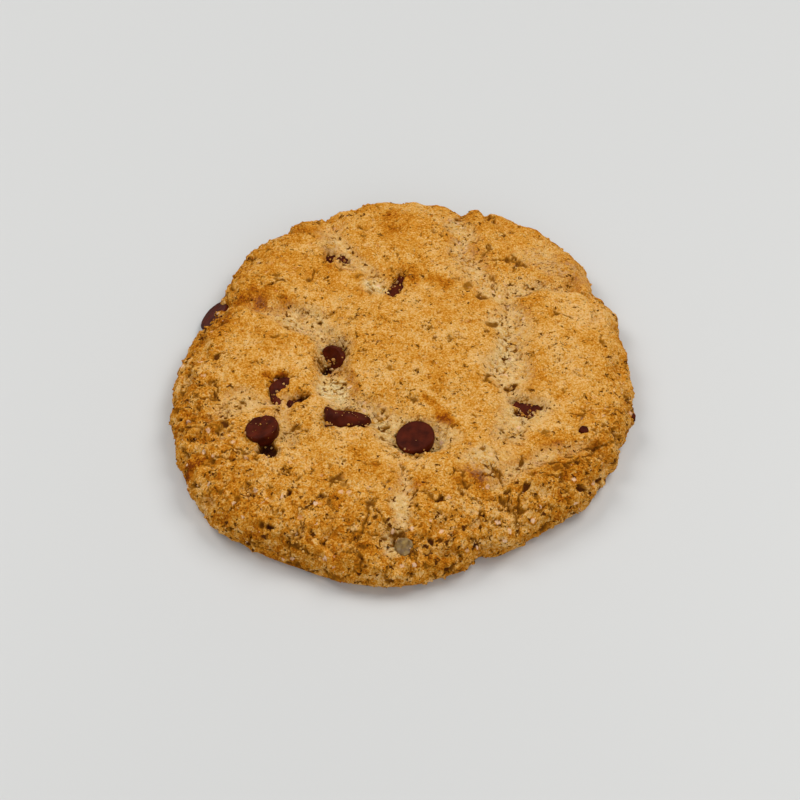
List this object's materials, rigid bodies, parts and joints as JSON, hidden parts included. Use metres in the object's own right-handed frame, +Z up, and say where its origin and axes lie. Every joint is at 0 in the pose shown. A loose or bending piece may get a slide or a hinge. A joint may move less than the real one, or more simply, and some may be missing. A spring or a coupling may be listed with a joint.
{
  "type": "chocolate chip cookie",
  "caption": "Round baked cookie with a cracked, domed crust, a flat base and dark chocolate chips showing on top.",
  "frame": {"origin": "middle of the flat base, on the surface that the cookie lies on", "axes": "+Z up out of the cracked top, -Y towards the front as pictured, +X to the right"},
  "size_m": [0.1024, 0.111, 0.0127],
  "materials": {
    "dough": "baked golden brown, dry and crumbly",
    "chocolate": "dark chocolate, satin where smooth",
    "sugar": "melted sugar, translucent amber brown"
  },
  "bodies": {
    "root": {"cookie": "dough", "chip_disc": "chocolate", "chip_bar": "chocolate", "chip_front_left": "chocolate", "chip_crescent": "chocolate", "chip_valley": "chocolate", "chip_back": "chocolate", "chip_back_left": "chocolate", "chip_right": "chocolate", "chip_rim_left": "chocolate", "bit_right": "chocolate", "bit_rim_right": "chocolate", "lump_front": "sugar"}
  },
  "joints": []
}
